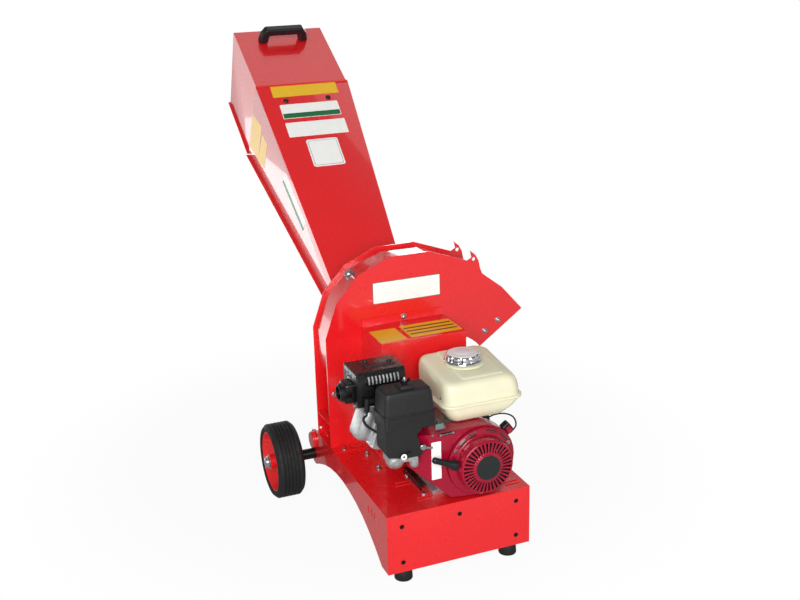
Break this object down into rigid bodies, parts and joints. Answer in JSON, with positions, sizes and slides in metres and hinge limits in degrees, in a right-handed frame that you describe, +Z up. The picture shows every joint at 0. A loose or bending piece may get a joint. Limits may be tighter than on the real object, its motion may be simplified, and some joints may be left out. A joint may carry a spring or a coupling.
{
  "type": "garden shredder",
  "caption": "Petrol garden shredder on two wheels with a slanted feed chute, a scroll housing with a side spout and a small recoil-start engine.",
  "frame": {"origin": "centre of the outer box on the ground", "axes": "+Z up, +Y from the engine towards the chute's mouth, +X towards the discharge spout"},
  "size_m": [0.8068, 1.692, 1.3813],
  "materials": {
    "red_powder_coat": "gloss",
    "crimson_paint": "gloss",
    "cream_paint": "gloss",
    "black_plastic": "satin",
    "charcoal_plastic": "fine texture",
    "black_heat_paint": "matt",
    "black_rubber": "matt",
    "zinc_plate": "satin",
    "chrome_plate": "polished",
    "cast_aluminium": "as cast",
    "bright_steel": "machined"
  },
  "bodies": {
    "machine": {"air_cleaner_base": "charcoal_plastic", "air_cleaner_cover": "charcoal_plastic", "air_filter": "cream_paint", "axle": "bright_steel", "axle_frame": "red_powder_coat", "back_plate": "red_powder_coat", "base_tray": "red_powder_coat", "bearing_front": "bright_steel", "bearing_housing": "cast_aluminium", "bearing_rear": "bright_steel", "belt_guard": "red_powder_coat", "carburettor": "cast_aluminium", "carry_handle": "black_plastic", "chute_funnel": "red_powder_coat", "chute_hood": "red_powder_coat", "counter_knife": "bright_steel", "crankcase": "cast_aluminium", "cylinder_and_head": "cast_aluminium", "discharge_floor": "red_powder_coat", "fan_shroud": "crimson_paint", "foot_left": "black_rubber", "foot_right": "black_rubber", "front_plate": "red_powder_coat", "fuel_tank": "cream_paint", "hold_down_rail": "black_heat_paint", "hub_nut_left": "chrome_plate", "hub_nut_right": "chrome_plate", "ignition_lead": "black_rubber", "muffler": "black_heat_paint", "muffler_end_plate": "zinc_plate", "muffler_guard": "black_heat_paint", "plug_cap": "black_plastic", "recoil_cover": "crimson_paint", "rim_band": "red_powder_coat", "rim_clamp_bolt": "zinc_plate", "rocker_cover": "cast_aluminium", "spark_plug": "zinc_plate", "stop_lead": "black_rubber", "stop_switch": "black_plastic", "v_belt": "black_rubber"},
    "rotor": {"rotor_shaft": "bright_steel", "cutter_disc": "bright_steel", "knife_a": "bright_steel", "knife_b": "bright_steel", "driven_pulley": "cast_aluminium"},
    "crank": {"crankshaft": "bright_steel", "flywheel": "cast_aluminium", "drive_pulley": "cast_aluminium"},
    "wheel_left": {"tyre_left": "black_rubber", "rim_left": "red_powder_coat"},
    "wheel_right": {"tyre_right": "black_rubber", "rim_right": "red_powder_coat"},
    "cap": {"fuel_cap": "chrome_plate"},
    "pull_grip": {"starter_grip": "black_plastic"},
    "cover_nut": {"wing_nut": "zinc_plate"},
    "throttle": {"throttle_lever": "charcoal_plastic"},
    "choke": {"choke_lever": "black_plastic"},
    "fuel_tap": {"fuel_lever": "cream_paint"},
    "rocker": {"switch_rocker": "crimson_paint"},
    "dipstick": {"oil_dipstick": "charcoal_plastic"}
  },
  "joints": [
    {"name": "rotor_spin", "type": "hinge", "parent": "machine", "child": "rotor", "pos_m": [-0.0256, -0.25702, 0.5], "axis": [0, 1, 0], "continuous": true},
    {"name": "crank_spin", "type": "hinge", "parent": "machine", "child": "crank", "pos_m": [0.0414, -0.58302, 0.317], "axis": [0, 1, 0], "continuous": true},
    {"name": "wheel_left_spin", "type": "hinge", "parent": "machine", "child": "wheel_left", "pos_m": [-0.3446, -0.16302, 0.1175], "axis": [1, 0, 0], "continuous": true},
    {"name": "wheel_right_spin", "type": "hinge", "parent": "machine", "child": "wheel_right", "pos_m": [0.2934, -0.16302, 0.1175], "axis": [1, 0, 0], "continuous": true},
    {"name": "fuel_cap_turn", "type": "hinge", "parent": "machine", "child": "cap", "pos_m": [0.0614, -0.64502, 0.5558], "axis": [0, 0, 1], "range_deg": [0, 90]},
    {"name": "starter_pull", "type": "slide", "parent": "machine", "child": "pull_grip", "axis": [-0.9135, 0, 0.4067], "range_m": [0, 0.1], "stiffness_N_per_m": 60},
    {"name": "cover_nut_turn", "type": "hinge", "parent": "machine", "child": "cover_nut", "pos_m": [-0.1556, -0.74702, 0.5593], "axis": [0, 0, 1], "range_deg": [-180, 180]},
    {"name": "throttle_turn", "type": "hinge", "parent": "machine", "child": "throttle", "pos_m": [-0.0556, -0.76502, 0.4213], "axis": [0, 0, 1], "range_deg": [-12, 12]},
    {"name": "choke_turn", "type": "hinge", "parent": "machine", "child": "choke", "pos_m": [-0.1276, -0.79332, 0.392], "axis": [0, 1, 0], "range_deg": [-30, 30]},
    {"name": "fuel_tap_turn", "type": "hinge", "parent": "machine", "child": "fuel_tap", "pos_m": [-0.1836, -0.79332, 0.376], "axis": [0, 1, 0], "range_deg": [-25, 40]},
    {"name": "stop_rocker", "type": "hinge", "parent": "machine", "child": "rocker", "pos_m": [0.13667, -0.77732, 0.38371], "axis": [0.8191, 0, 0.5736], "range_deg": [-8, 8]},
    {"name": "dipstick_turn", "type": "hinge", "parent": "machine", "child": "dipstick", "pos_m": [-0.0366, -0.57502, 0.261], "axis": [0, 1, 0], "range_deg": [-90, 90]}
  ],
  "couplings": [
    {"joint": "crank_spin", "follows": "rotor_spin", "ratio": 1.3182}
  ]
}
